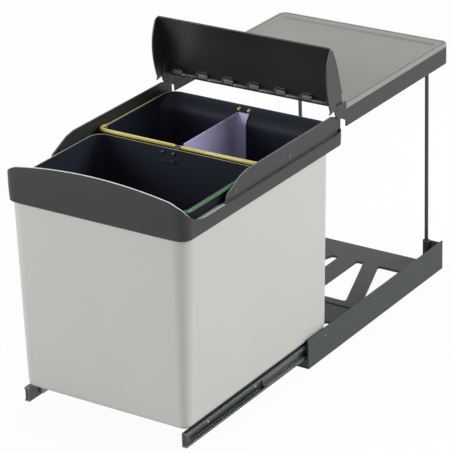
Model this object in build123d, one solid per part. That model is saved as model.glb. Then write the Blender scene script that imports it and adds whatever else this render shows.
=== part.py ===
from build123d import *
import os
from math import hypot, radians, sin, cos

# Pull-out waste bin unit for a kitchen base cabinet, millimetres.
# +X is the user's right, -Y is towards the cabinet door, +Z is up.
# The origin is the middle of the four floor screws, on the underside of the base tray.
# The bin stands pulled out with its lid up; sliding in moves it along +Y.

# ---------- base tray ----------
base_width = 320.0
base_length = 452.0
base_floor = 5.0
rail_height = 52.0
rail_wall = 3.0
base_corner = 4.0
end_band = 58.0
middle_band = 82.0
middle_band_front = -67.0
middle_recess_margin = 18.0
middle_recess_depth = 1.5
spine_width = 36.0
strut_width = 28.0
strut_slope = 0.353
strut_rear_gap = 14.0
opening_side_margin = 19.0
opening_side_slope = 0.204
opening_corner = 4.0
front_return_width = 20.0
front_return_height = 15.5
back_wall_height = 48.0
back_wall_radius = 5.0
socket_wall = 3.2
screw_spacing_x = 240.0
screw_spacing_y = 394.0
screw_hole_diameter = 5.0
screw_pad_diameter = 16.0
screw_pad_height = 1.5

# ---------- posts ----------
post_diameter = 6.6
post_spacing = 257.0
post_inset = 3.5
post_fit = 0.05
post_bottom = 7.0
post_top_seat = 15.0

# ---------- shelf ----------
shelf_width = 334.0
shelf_front = -110.0
shelf_rear = 231.5
shelf_bottom = 386.0
shelf_top = 422.0
shelf_wall = 2.4
shelf_corner = 14.0
tray_edge_height = 6.0
tray_plate = 2.6
tray_rim_width = 14.0
tray_rim_back = 22.0
tray_recess = 3.0
tray_recess_corner = 17.0
tray_edge_round = 1.5
tray_lip_height = 14.0
tray_lip_inset = 6.0
groove_inset = 5.0
groove_width = 2.0
groove_depth = 1.0

# ---------- lid and hinge ----------
hinge_y = -124.0
hinge_z = 424.0
rod_diameter = 3.0
rod_fit = 0.05
rod_end_inset = 0.5
eye_radius = 4.0
knuckle_width = 18.0
knuckle_pitch = 50.0
knuckle_tab_height = 9.0
shelf_eye_width = 12.0
lug_radius = 20.0
lug_rise = 5.0
lug_gap = 0.6
lug_neck_drop = 28.0
lid_back = [(-116, 425), (-127, 465), (-140, 507), (-152, 531)]
lid_edge = [(-154, 529.5), (-168, 475), (-164, 448), (-157, 425)]
lid_claw = [(-160, 421), (-146, 424)]
lid_wall = 2.4
lid_lean = radians(15.5)
lid_corner = 10.0
lid_side_gap = 0.4

# ---------- runners ----------
runner_z = 29.0
runner_depth = 11.0
runner_length = 420.0
runner_front_margin = 4.0
moving_height = 24.0
moving_depth = 8.6
moving_wall = 1.5
hook_length = 2.0
middle_depth = 5.4
middle_wall = 1.2
middle_length = 380.0
middle_front = -348.0
fixed_wall = 1.2
fixed_plate_height = 34.0
ball_diameter = 2.9
ball_clearance = 0.05
balls_per_row = 4
ball_pitch = 24.0
web_gap = 1.3
cage_wall = 0.8
cage_length = 96.0
cage_end = 0.5
stop_length = 14.0
stop_depth = 5.5
runner_screw_diameter = 3.5
runner_screw_head = 6.8
runner_screw_rise = 10.0
runner_screw_pitch = 160.0
runner_screw_length = 3.7
screw_fit = 0.05
socket_diameter = 2.4
socket_depth = 0.9

# ---------- bin: container, collar, side plates ----------
bin_width = 336.0
bin_front = -570.5
bin_rear = -114.5
bin_corner = 25.0
collar_bottom = 360.0
collar_ledge = 381.0
collar_wall = 2.4
collar_draft = 0.8
collar_rear_rise = 4.4
ledge_width = 10.5
ledge_thickness = 2.4
rear_deck = 46.0
ledge_corner = 15.0
panel_arch = [(-168, 413), (-157, 420), (-114, 426), (-38, 431), (0, 432.5)]
panel_sweep = [(-559.5, 440), (-555.5, 415), (-546, 394), (-525, 383), (-505, 381)]
container_bottom = 42.4
container_floor_half_width = 153.5
container_shoulder_half_width = 164.2
container_shoulder = 358.5
container_front_gap = 0.4
container_rear_setback = 36.0
container_rear_draft = 5.0
container_wall = 2.5
container_rim_inset = 3.0
container_lip = 7.5
container_foot_corner = 14.0
container_foot_radius = 10.0
rib_thickness = 5.0
rib_bottom = 20.0
rib_front_inset = 30.0
rib_length = 350.0
rib_screw_diameter = 4.0
rib_screw_head = 7.0
rib_screw_head_height = 2.2
rib_screw_pitch = 135.0
plate_outer_face = 163.6
plate_thickness = 1.8
plate_outline = [(-458, 381), (-452, 394), (-414, 411.5), (-395, 415), (-150, 415),
                 (-123, 405), (-123, 387), (-135, 387), (-135, 381)]
plate_round = 5.0
plate_round_above = 390.0
tab_ys = [-391.0, -299.0, -211.0]
tab_length = 12.0
tab_depth = 5.0
tab_gap = 0.3
rivet_ys = [-428.0, -276.0]
rivet_z = 390.5
rivet_diameter = 4.0
rivet_head = 7.0
rivet_head_height = 0.8
rivet_lug_thickness = 1.2
rivet_lug_width = 14.0
rivet_lug_height = 14.0

# ---------- buckets, bag rings, divider ----------
bucket_top = 399.5
bucket_half_width = 153.0
bucket_wall = 1.8
bucket_draft = 7.0
bucket_corner = 22.0
bucket_foot_corner = 16.0
bucket_foot_radius = 10.0
bucket_split = -342.0
bucket_gap = 9.0
front_bucket_front = -556.0
rear_bucket_rear = -162.5
flare_rear = -134.0
flare_depth = 16.5
flare_start = -200.0
bucket_flange = 5.5
flange_drop = 9.0
flange_thickness = 2.0
flange_clear = 62.0
ring_diameter = 7.0
ring_gap = 0.3
ring_bend = 20.0
ring_drop = 7.6
ring_ramp = 50.0
ring_tip_bend = 6.0
ring_tip_fit = 0.9
green_tip_xs = (-24.3, -3.7)
green_tip_reach = 8.0
yellow_tip_x = 10.0
yellow_tip_reach = 14.0
ring_split_half = 5.6
clip_width = 26.0
clip_height = 3.0
clip_depth = 4.0
clip_drop = 22.0
groove_x = -7.5
bucket_groove_width = 3.0
bucket_groove_depth = 0.8
divider_thickness = 2.0
divider_front = -324.0
divider_flange_half = 14.0
divider_foot_half = 30.0
divider_gap = 0.5
divider_chamfer = 12.0

CUT = 1.0
os.makedirs("parts", exist_ok=True)

# ---------- positions that follow from the sizes above ----------
rail_inner_x = base_width / 2 - rail_wall
rear_y = base_length / 2
post_x = post_spacing / 2
post_y = rear_y - post_inset
shelf_half = shelf_width / 2
shelf_inner_x = shelf_half - shelf_wall
tray_base = shelf_top - tray_edge_height
rim_underside = shelf_top - tray_plate
recess_floor = shelf_top - tray_recess
bin_half = bin_width / 2
ball_gap = ball_diameter + 2 * ball_clearance
moving_back_x = rail_inner_x - runner_depth
moving_inner_x = moving_back_x + moving_wall
middle_back_x = moving_inner_x + web_gap
middle_inner_x = middle_back_x + middle_wall
fixed_rail_x = middle_inner_x + web_gap
fixed_face_x = rail_inner_x - fixed_wall
middle_half = moving_height / 2 - moving_wall - ball_gap
fixed_half = middle_half - middle_wall - ball_gap
ball_inset = ball_gap / 2 + ball_clearance
runner_front = -rear_y + runner_front_margin
moving_front = bin_front + ball_clearance
moving_rear = moving_front + runner_length
middle_rear = middle_front + middle_length
rib_x = moving_back_x - rib_thickness
rib_front = bin_front + rib_front_inset
container_front = bin_front + collar_wall + container_front_gap
container_rear = bin_rear - container_rear_setback
container_floor = container_bottom + container_wall
rim_top = collar_ledge - ledge_thickness
rim_half = container_shoulder_half_width - container_rim_inset
plate_inner_face = plate_outer_face - plate_thickness
bucket_bottom = container_floor
bucket_floor = bucket_bottom + bucket_wall
ring_x = bucket_half_width + ring_gap + ring_diameter / 2
ring_z = bucket_top - ring_diameter / 2 + ball_clearance
ring_low_z = ring_z - ring_drop


def box_between(x0, x1, y0, y1, z0, z1):
    """A box from its two opposite corners."""
    low = (min(x0, x1), min(y0, y1), min(z0, z1))
    return Pos(*low) * Box(abs(x1 - x0), abs(y1 - y0), abs(z1 - z0),
                           align=(Align.MIN, Align.MIN, Align.MIN))


def rounded_plan(x_half, y0, y1, radius, z):
    """A rounded rectangle in plan at height z, symmetric about X = 0."""
    plan = RectangleRounded(2 * x_half, y1 - y0, radius)
    return Pos(0, (y0 + y1) / 2, z) * plan


def rounded_block(x_half, y0, y1, radius, z0, z1):
    """An upright block with its four vertical edges rounded."""
    return extrude(rounded_plan(x_half, y0, y1, radius, z0), amount=z1 - z0)


def rear_rounded_block(x_half, y0, y1, radius, z0, z1):
    """An upright block with only its two rear vertical edges rounded."""
    block = box_between(-x_half, x_half, y0, y1, z0, z1)
    rear = block.edges().filter_by(Axis.Z).group_by(Axis.Y)[-1]
    return fillet(rear, radius)


def plan_outline(points, radius, z0, z1):
    """An outline of (x, y) points with rounded corners carried from z0 to z1."""
    face = make_face(Polyline(*[(x, y) for x, y in points], close=True))
    face = fillet(face.vertices(), radius)
    return extrude(Pos(0, 0, z0) * face, amount=z1 - z0)


def side_face(points):
    """A closed outline of (y, z) points in the plane X = 0."""
    return make_face(Polyline(*[(0, y, z) for y, z in points], close=True))


def side_profile(points, x0, x1):
    """A closed outline of (y, z) points carried from x0 to x1 along X."""
    return extrude(Pos(x0, 0, 0) * side_face(points), amount=x1 - x0, dir=(1, 0, 0))


def front_profile(points, y0, y1):
    """A closed outline of (x, z) points carried from y0 to y1 along Y."""
    face = make_face(Polyline(*[(x, 0, z) for x, z in points], close=True))
    return extrude(Pos(0, y0, 0) * face, amount=y1 - y0, dir=(0, 1, 0))


def rod_x(x0, x1, y, z, radius):
    """A round bar along X."""
    return Pos((x0 + x1) / 2, y, z) * Rot(0, 90, 0) * Cylinder(radius, abs(x1 - x0))


def rod_y(x, y0, y1, z, radius):
    """A round bar along Y."""
    return Pos(x, (y0 + y1) / 2, z) * Rot(90, 0, 0) * Cylinder(radius, abs(y1 - y0))


def rod_z(x, y, z0, z1, radius):
    """A round bar along Z."""
    return Pos(x, y, (z0 + z1) / 2) * Cylinder(radius, abs(z1 - z0))


def bent_bar(points, radii, diameter):
    """A round bar along straight runs joined by tangent bends."""
    path = FilletPolyline(*points, radius=radii)
    section = Plane(origin=path @ 0, z_dir=path % 0) * Circle(diameter / 2)
    return sweep(section, path=path)


def mirrored(shape):
    """The same piece on the other side of X = 0."""
    return mirror(shape, about=Plane.YZ)


def save(name, shape):
    """Writes one node."""
    export_step(shape, f"parts/{name}.step")


# ---------- base tray and posts ----------
def bay_openings(end_y, middle_y):
    """The two openings of one bay on the right, either side of the slanting strut."""
    toward = 1 if middle_y > end_y else -1
    run = abs(middle_y - end_y)
    spine = spine_width / 2
    near = spine + strut_rear_gap
    step = strut_width * hypot(1, strut_slope)
    side = rail_inner_x - opening_side_margin
    apex = (side - near - step) / (strut_slope + opening_side_slope)
    depth = min(run, apex)
    inner = [(spine, end_y), (near, end_y), (near + strut_slope * run, middle_y), (spine, middle_y)]
    tip_y = end_y + toward * depth
    outer = [(near + step, end_y), (side, end_y), (side - opening_side_slope * depth, tip_y)]
    if depth < apex:
        outer.append((near + step + strut_slope * depth, tip_y))
    return [plan_outline(points, opening_corner, -CUT, base_floor + CUT) for points in (inner, outer)]


def post_socket(z0, z1, y_back):
    """The boss round one post, running back to a wall."""
    half = post_diameter / 2 + socket_wall
    boss = rod_z(post_x, post_y, z0, z1, half)
    return boss + box_between(post_x - half, post_x + half, post_y, y_back, z0, z1)


def base_tray():
    """A floor lattice between two side rails, with a post socket at each rear corner."""
    half = base_width / 2
    tray = box_between(-half, half, -rear_y, rear_y, 0, base_floor)
    tray = fillet(tray.edges().filter_by(Axis.Z), base_corner)
    middle_rear_y = middle_band_front + middle_band
    for cutter in (bay_openings(rear_y - end_band, middle_rear_y)
                   + bay_openings(-rear_y + end_band, middle_band_front)):
        tray = tray - cutter - mirrored(cutter)
    recess = box_between(-rail_inner_x + opening_side_margin, rail_inner_x - opening_side_margin,
                         middle_band_front + middle_recess_margin,
                         middle_rear_y - middle_recess_margin,
                         base_floor - middle_recess_depth, base_floor + CUT)
    tray = tray - recess
    rail = box_between(rail_inner_x, half, -rear_y, rear_y, 0, rail_height)
    front_return = box_between(rail_inner_x - front_return_width, half,
                               -rear_y, -rear_y + rail_wall, 0, front_return_height)
    top_inner = front_return.edges().filter_by(Axis.Y).group_by(Axis.Z)[-1].sort_by(Axis.X)[0]
    front_return = fillet(top_inner, front_return_height / 2)
    socket_half = post_diameter / 2 + socket_wall
    back_wall = box_between(post_x, half, rear_y - rail_wall, rear_y, 0, back_wall_height)
    corner = rail + front_return + back_wall + post_socket(0, back_wall_height, rear_y)
    outer_edge = corner.edges().filter_by(Axis.Z).filter_by_position(Axis.Y, rear_y - 0.1, rear_y + 0.1)
    corner = fillet(outer_edge.sort_by(Axis.X)[-1], base_corner - rail_wall / 2)
    corner = corner - rod_z(post_x, post_y, post_bottom, back_wall_height + CUT,
                            post_diameter / 2 + post_fit)
    tray = tray + corner + mirrored(corner)
    for x in (-screw_spacing_x / 2, screw_spacing_x / 2):
        for y in (-screw_spacing_y / 2, screw_spacing_y / 2):
            tray = tray + rod_z(x, y, 0, base_floor + screw_pad_height, screw_pad_diameter / 2)
            tray = tray - rod_z(x, y, -CUT, base_floor + screw_pad_height + CUT,
                                screw_hole_diameter / 2)
    for y in runner_screw_rows():
        hole = rod_x(rail_inner_x - CUT, half + CUT, y, runner_z + runner_screw_rise,
                     runner_screw_diameter / 2 + screw_fit)
        tray = tray - hole - mirrored(hole)
    return tray


def post():
    """One round steel post from the base socket up into the shelf."""
    bar = rod_z(post_x, post_y, post_bottom, post_top(), post_diameter / 2)
    return chamfer(bar.edges(), post_fit * 10)


def post_top():
    """The height at which a post stops inside the shelf frame."""
    return tray_base - socket_wall / 2


# ---------- shelf, hinge rod and lid ----------
def shelf_frame():
    """The dark skirt on three sides, with the lid lugs at its front ends."""
    skirt = rear_rounded_block(shelf_half, shelf_front, shelf_rear, shelf_corner,
                               shelf_bottom, tray_base)
    hollow = rear_rounded_block(shelf_inner_x, shelf_front - CUT, shelf_rear - shelf_wall,
                                shelf_corner - shelf_wall, shelf_bottom - CUT, tray_base + CUT)
    skirt = skirt - hollow
    disc = rod_x(shelf_inner_x, shelf_half, hinge_y, hinge_z, lug_radius)
    keep = box_between(0, bin_half, hinge_y - 2 * lug_radius, shelf_front,
                       0, hinge_z + lug_rise)
    neck = side_profile([(hinge_y, hinge_z - lug_radius), (shelf_front, hinge_z - lug_neck_drop),
                         (shelf_front, tray_base), (hinge_y, tray_base)],
                        shelf_inner_x, shelf_half)
    lug = (disc & keep) + neck
    lug = lug - rod_x(shelf_inner_x - CUT, shelf_half + CUT, hinge_y, hinge_z,
                      rod_diameter / 2 + rod_fit)
    socket = post_socket(tray_base - post_top_seat, tray_base, shelf_rear - shelf_wall / 2)
    socket = socket - rod_z(post_x, post_y, tray_base - post_top_seat - CUT, post_top(),
                            post_diameter / 2 + post_fit)
    return skirt + lug + mirrored(lug) + socket + mirrored(socket)


def shelf_tray():
    """The light tray on top, with a rim, a groove and the fixed hinge eyes."""
    tray = rear_rounded_block(shelf_half, shelf_front, shelf_rear, shelf_corner,
                              tray_base, shelf_top)
    tray = fillet(tray.edges().group_by(Axis.Z)[-1], tray_edge_round)
    recess_half = shelf_half - tray_rim_width
    under = rear_rounded_block(shelf_inner_x, shelf_front + shelf_wall, shelf_rear - shelf_wall,
                               shelf_corner - shelf_wall, tray_base - CUT, rim_underside)
    under = under - rounded_block(recess_half + tray_plate, shelf_front + tray_rim_width - tray_plate,
                                  shelf_rear - tray_rim_back + tray_plate, tray_recess_corner,
                                  tray_base - 2 * CUT, rim_underside + CUT)
    recess = rounded_block(recess_half, shelf_front + tray_rim_width, shelf_rear - tray_rim_back,
                           tray_recess_corner - tray_plate, recess_floor, shelf_top + CUT)
    well = rounded_block(recess_half, shelf_front + tray_rim_width, shelf_rear - tray_rim_back,
                         tray_recess_corner - tray_plate, tray_base - CUT,
                         recess_floor - tray_plate)
    groove = rear_rounded_block(shelf_half - groove_inset, shelf_front + groove_inset,
                                shelf_rear - groove_inset, shelf_corner - groove_inset,
                                shelf_top - groove_depth, shelf_top + CUT)
    island_inset = groove_inset + groove_width
    island = rear_rounded_block(shelf_half - island_inset, shelf_front + island_inset,
                                shelf_rear - island_inset, shelf_corner - island_inset,
                                shelf_top - groove_depth - CUT, shelf_top + 2 * CUT)
    tray = tray - under - recess - well - (groove - island)
    lip_half = shelf_half - tray_lip_inset
    tray = tray + box_between(-lip_half, lip_half, shelf_front, shelf_front + shelf_wall,
                              shelf_top - tray_lip_height, rim_underside)
    return tray + shelf_eyes()


def shelf_eyes():
    """The fixed hinge eyes, one between each pair of lid knuckles."""
    eyes = []
    for step in (-2.5, -1.5, -0.5, 0.5, 1.5, 2.5):
        x = step * knuckle_pitch
        x0 = x - shelf_eye_width / 2
        x1 = x + shelf_eye_width / 2
        eye = rod_x(x0, x1, hinge_y, hinge_z, eye_radius)
        arm = side_profile([(hinge_y - 3, hinge_z - 2.5), (hinge_y, hinge_z - eye_radius),
                            (shelf_front + 1, shelf_top - 7), (shelf_front + 1, shelf_top - 0.2),
                            (hinge_y + 5, hinge_z - 0.5)], x0, x1)
        eyes.append(eye + arm - rod_x(x0 - CUT, x1 + CUT, hinge_y, hinge_z,
                                      rod_diameter / 2 + rod_fit))
    joined = eyes[0]
    for eye in eyes[1:]:
        joined = joined + eye
    return joined


def hinge_rod():
    """The thin steel rod through every hinge eye and both lugs."""
    reach = shelf_half - rod_end_inset
    return rod_x(-reach, reach, hinge_y, hinge_z, rod_diameter / 2)


def lid_region():
    """The side view of the whole lid: curved back, bulging end edge and claw."""
    back = Spline(*[(0, y, z) for y, z in lid_back])
    top = Line((0, *lid_back[-1]), (0, *lid_edge[0]))
    edge = Spline(*[(0, y, z) for y, z in lid_edge])
    foot = Polyline((0, *lid_edge[-1]), *[(0, y, z) for y, z in lid_claw], (0, *lid_back[0]))
    return make_face(back + top + edge + foot)


def lid():
    """A curved shell with end walls that wrap the lugs, and seven hinge knuckles."""
    region = lid_region()
    body = extrude(Pos(-shelf_half, 0, 0) * region, amount=shelf_width, dir=(1, 0, 0))
    shift = Pos(-shelf_inner_x, -lid_wall * cos(lid_lean), -lid_wall * sin(lid_lean))
    body = body - extrude(shift * region, amount=2 * shelf_inner_x, dir=(1, 0, 0))
    top = lid_back[-1][1] + CUT
    mask = Pos(0, hinge_y, top / 2) * Rot(90, 0, 0) * RectangleRounded(shelf_width, top, lid_corner)
    body = body & extrude(mask, amount=base_width / 2, both=True)
    notch = rod_x(shelf_inner_x - lid_side_gap, bin_half, hinge_y, hinge_z, lug_radius + lug_gap)
    body = body - notch - mirrored(notch)
    for step in range(-3, 4):
        body = body + lid_knuckle(step * knuckle_pitch)
    return body - rod_x(-shelf_half, shelf_half, hinge_y, hinge_z, rod_diameter / 2 + rod_fit)


def lid_knuckle(x):
    """One lid knuckle with its upright tab."""
    x0 = x - knuckle_width / 2
    x1 = x + knuckle_width / 2
    tab = side_profile([(hinge_y - eye_radius, hinge_z), (hinge_y - eye_radius, hinge_z + knuckle_tab_height),
                        (hinge_y + 5, hinge_z + knuckle_tab_height), (hinge_y + 7.5, hinge_z + 1.5),
                        (hinge_y + 3.5, hinge_z - 1.5)], x0, x1)
    return rod_x(x0, x1, hinge_y, hinge_z, eye_radius) + tab


# ---------- ball runners, right side ----------
def runner_screw_rows():
    """The places along Y of the screws that hold one fixed runner member."""
    middle = runner_front + runner_length / 2
    return [middle - runner_screw_pitch, middle, middle + runner_screw_pitch]


def runner_fixed():
    """The fixed member: a plate on the base rail with a raised track."""
    low = runner_z - fixed_plate_height / 2
    high = runner_z + fixed_plate_height / 2
    outer = fixed_half
    inner = fixed_half - fixed_wall
    points = [(rail_inner_x, low), (fixed_face_x, low), (fixed_face_x, runner_z - outer),
              (fixed_rail_x, runner_z - outer), (fixed_rail_x, runner_z + outer),
              (fixed_face_x, runner_z + outer), (fixed_face_x, high), (rail_inner_x, high),
              (rail_inner_x, runner_z + inner), (fixed_rail_x + fixed_wall, runner_z + inner),
              (fixed_rail_x + fixed_wall, runner_z - inner), (rail_inner_x, runner_z - inner)]
    member = front_profile(points, runner_front, runner_front + runner_length)
    for y in runner_screw_rows():
        member = member - runner_screw_form(y, screw_fit)
    return member


def runner_screw_form(y, grow):
    """A countersunk screw through the fixed member into the rail, grown by a fit."""
    z = runner_z + runner_screw_rise
    shank = rod_x(fixed_face_x, fixed_face_x + runner_screw_length + grow, y, z,
                  runner_screw_diameter / 2 + grow)
    depth = (runner_screw_head - runner_screw_diameter) / 2
    depth = min(depth, fixed_wall)
    cone = Pos(fixed_face_x + depth / 2, y, z) * Rot(0, 90, 0) * Cone(
        runner_screw_head / 2 + grow, runner_screw_diameter / 2 + grow, depth)
    return shank + cone


def runner_screws():
    """The six countersunk screws of the two fixed members."""
    solids = []
    for y in runner_screw_rows():
        z = runner_z + runner_screw_rise
        screw = runner_screw_form(y, 0)
        screw = screw - rod_x(fixed_face_x - CUT, fixed_face_x + socket_depth, y, z,
                              socket_diameter / 2)
        solids += [screw, mirrored(screw)]
    return Compound(children=solids)


def runner_middle():
    """The middle member: a channel that rides on balls inside and out."""
    tip = middle_back_x + middle_depth
    low = runner_z - middle_half
    high = runner_z + middle_half
    points = [(middle_back_x, low), (tip, low), (tip, low + middle_wall),
              (middle_inner_x, low + middle_wall), (middle_inner_x, high - middle_wall),
              (tip, high - middle_wall), (tip, high), (middle_back_x, high)]
    return front_profile(points, middle_front, middle_rear)


def runner_moving():
    """The moving member: a hooked channel screwed to the container's rib."""
    tip = moving_back_x + moving_depth
    hook = tip - moving_wall
    low = runner_z - moving_height / 2
    high = runner_z + moving_height / 2
    points = [(moving_back_x, low), (tip, low), (tip, low + moving_wall + hook_length),
              (hook, low + moving_wall + hook_length), (hook, low + moving_wall),
              (moving_inner_x, low + moving_wall), (moving_inner_x, high - moving_wall),
              (hook, high - moving_wall), (hook, high - moving_wall - hook_length),
              (tip, high - moving_wall - hook_length), (tip, high), (moving_back_x, high)]
    member = front_profile(points, moving_front, moving_rear)
    for y in rib_screw_rows():
        member = member - rod_x(moving_back_x - CUT, moving_inner_x + CUT, y, runner_z,
                                rib_screw_diameter / 2 + screw_fit)
    return member


def cage(back_x, ball_x, row_half, centre_y):
    """A ball cage: a thin channel with a round pocket for every ball."""
    x0 = back_x + (web_gap - cage_wall) / 2
    tip = ball_x + ball_gap / 2 + cage_end
    outer = row_half + cage_wall / 2
    inner = row_half - cage_wall / 2
    points = [(x0, runner_z - outer), (tip, runner_z - outer), (tip, runner_z - inner),
              (x0 + cage_wall, runner_z - inner), (x0 + cage_wall, runner_z + inner),
              (tip, runner_z + inner), (tip, runner_z + outer), (x0, runner_z + outer)]
    body = front_profile(points, centre_y - cage_length / 2, centre_y + cage_length / 2)
    for y in ball_rows(centre_y):
        body = body - rod_z(ball_x, y, runner_z + inner - CUT, runner_z + outer + CUT, ball_gap / 2)
        body = body - rod_z(ball_x, y, runner_z - outer - CUT, runner_z - inner + CUT, ball_gap / 2)
    return body


def ball_rows(centre_y):
    """The places along Y of the balls in one cage."""
    first = centre_y - ball_pitch * (balls_per_row - 1) / 2
    return [first + ball_pitch * step for step in range(balls_per_row)]


def balls(ball_x, row_half, centre_y):
    """The two rows of balls in one cage."""
    solids = []
    for y in ball_rows(centre_y):
        for z in (runner_z - row_half, runner_z + row_half):
            solids.append(Pos(ball_x, y, z) * Sphere(ball_diameter / 2))
    return Compound(children=solids)


def runner_stop():
    """The plastic end stop in the front of the moving member."""
    half = moving_height / 2 - moving_wall
    block = box_between(moving_inner_x, moving_inner_x + stop_depth, moving_front,
                        moving_front + stop_length, runner_z - half, runner_z + half)
    return chamfer(block.edges().filter_by(Axis.Z).sort_by(Axis.Y)[-1], stop_depth / 3)


# ---------- container ----------
def rib_screw_rows():
    """The places along Y of the screws through one container rib."""
    middle = rib_front + rib_length / 2
    return [middle - rib_screw_pitch, middle, middle + rib_screw_pitch]


def container_form(inset, bottom, top):
    """The container's tapering body, or its inside when inset by the wall."""
    low_half = container_floor_half_width - inset
    foot = rounded_plan(low_half, container_front + inset,
                        container_rear - container_rear_draft - inset,
                        container_foot_corner - inset, bottom)
    shoulder = rounded_plan(container_shoulder_half_width - inset, container_front + inset,
                            container_rear - inset, bin_corner - inset, top)
    body = loft([foot, shoulder])
    edges = body.edges().group_by(Axis.Z)[0]
    return fillet(edges, container_foot_radius - inset)


def container():
    """The light outer container with a stepped-in rim and a rib over each runner."""
    body = container_form(0, container_bottom, container_shoulder)
    rim_inset = container_rim_inset
    rim = rounded_block(rim_half, container_front + rim_inset, container_rear - rim_inset,
                        bin_corner - rim_inset, container_shoulder - container_wall, rim_top)
    for side in (-1, 1):
        body = body + box_between(side * rib_x, side * moving_back_x, rib_front,
                                  rib_front + rib_length, rib_bottom,
                                  container_bottom + container_foot_radius)
    body = body + rim
    body = body - container_form(container_wall, container_floor,
                                 container_shoulder - container_wall)
    throat = rim_inset + container_wall
    body = body - rounded_block(rim_half - container_wall, container_front + throat,
                                container_rear - throat, bin_corner - throat,
                                container_shoulder - 2 * container_wall, rim_top - container_wall)
    mouth = rim_inset + container_lip
    body = body - rounded_block(rim_half - container_lip, container_front + mouth,
                                container_rear - mouth, bin_corner - mouth,
                                rim_top - 2 * container_wall, rim_top + CUT)
    for y in rib_screw_rows():
        hole = rod_x(rib_x - CUT, moving_back_x + CUT, y, runner_z,
                     rib_screw_diameter / 2 + screw_fit)
        body = body - hole - mirrored(hole)
    return body


def container_screws():
    """The six screws that hold the container's ribs to the moving members."""
    solids = []
    for y in rib_screw_rows():
        shank = rod_x(rib_x, moving_inner_x - screw_fit, y, runner_z, rib_screw_diameter / 2)
        head = rod_x(rib_x - rib_screw_head_height, rib_x, y, runner_z, rib_screw_head / 2)
        drive = rod_x(rib_x - rib_screw_head_height - CUT, rib_x - rib_screw_head_height + socket_depth,
                      y, runner_z, socket_diameter / 2)
        screw = shank + head - drive
        solids += [screw, mirrored(screw)]
    return Compound(children=solids)


# ---------- collar and side plates ----------
def collar():
    """The dark collar: an arched front panel sweeping down to a ledge all round."""
    low = rounded_plan(bin_half - collar_draft, bin_front + collar_draft, bin_rear - collar_draft,
                       bin_corner, collar_bottom)
    high = rounded_plan(bin_half, bin_front, bin_rear, bin_corner, rim_top)
    panel_top = panel_sweep[0][1]
    shell = loft([low, high]) + rounded_block(bin_half, bin_front, bin_rear, bin_corner,
                                              rim_top, panel_top)
    inner = rounded_block(bin_half - collar_draft - collar_wall,
                          bin_front + collar_draft + collar_wall,
                          bin_rear - collar_draft - collar_wall, bin_corner - collar_wall,
                          collar_bottom - CUT, rim_top)
    inner = inner + rounded_block(bin_half - collar_wall, bin_front + collar_wall,
                                  bin_rear - collar_wall, bin_corner - collar_wall,
                                  rim_top, panel_top + CUT)
    ledge = shell & box_between(-bin_half, bin_half, bin_front, bin_rear, rim_top, collar_ledge)
    ledge = ledge - rounded_block(bin_half - ledge_width, bin_front + ledge_width,
                                  bin_rear - rear_deck, ledge_corner, rim_top - CUT,
                                  collar_ledge + CUT)
    body = (shell - inner + ledge) & collar_side_limit() & collar_front_limit()
    for side in (-1, 1):
        for y in rivet_ys:
            body = body + box_between(side * (plate_inner_face - rivet_lug_thickness),
                                      side * plate_inner_face,
                                      y - rivet_lug_width / 2, y + rivet_lug_width / 2,
                                      collar_ledge - ledge_thickness / 2,
                                      collar_ledge + rivet_lug_height)
            body = body - rod_x(side * (plate_inner_face - rivet_lug_thickness - CUT),
                                side * (plate_inner_face + CUT), y, rivet_z,
                                rivet_diameter / 2 + screw_fit)
        for y in tab_ys:
            body = body - box_between(side * (plate_inner_face - tab_gap),
                                      side * (plate_outer_face + tab_gap),
                                      y - tab_length / 2 - tab_gap, y + tab_length / 2 + tab_gap,
                                      rim_top - CUT, collar_ledge + CUT)
    return body


def collar_side_limit():
    """Everything under the collar's top edge as seen from the side."""
    rear_top = collar_ledge + collar_rear_rise
    sweep_line = Spline(*[(0, y, z) for y, z in panel_sweep])
    top = panel_sweep[0][1]
    rest = Polyline((0, *panel_sweep[-1]), (0, bin_rear - rear_deck + ledge_width, collar_ledge),
                    (0, bin_rear - ledge_width, rear_top), (0, bin_rear + CUT, rear_top),
                    (0, bin_rear + CUT, collar_bottom - CUT), (0, bin_front - CUT, collar_bottom - CUT),
                    (0, bin_front - CUT, top), (0, *panel_sweep[0]))
    face = make_face(sweep_line + rest)
    return extrude(Pos(-bin_half - CUT, 0, 0) * face, amount=bin_width + 2 * CUT, dir=(1, 0, 0))


def collar_front_limit():
    """Everything under the arch of the front panel."""
    right = [(-x, z) for x, z in reversed(panel_arch[:-1])]
    arch = Spline(*[(x, 0, z) for x, z in panel_arch + right])
    low = collar_bottom - CUT
    left_x, left_z = panel_arch[0]
    rest = Polyline((-left_x, 0, left_z), (-left_x, 0, low), (left_x, 0, low), (left_x, 0, left_z))
    face = make_face(arch + rest)
    return extrude(Pos(0, bin_front - CUT, 0) * face, amount=bin_rear - bin_front + 2 * CUT,
                   dir=(0, 1, 0))


def side_plate():
    """One steel side plate standing on the collar ledge, with tabs through it."""
    face = side_face(plate_outline)
    upper = [v for v in face.vertices() if v.Z > plate_round_above]
    face = fillet(upper, plate_round)
    plate = extrude(Pos(plate_inner_face, 0, 0) * face, amount=plate_thickness, dir=(1, 0, 0))
    for y in tab_ys:
        plate = plate + box_between(plate_inner_face, plate_outer_face, y - tab_length / 2,
                                    y + tab_length / 2, collar_ledge - tab_depth, collar_ledge + CUT)
    for y in rivet_ys:
        plate = plate - rod_x(plate_inner_face - CUT, plate_outer_face + CUT, y, rivet_z,
                              rivet_diameter / 2 + screw_fit)
    return plate


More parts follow.
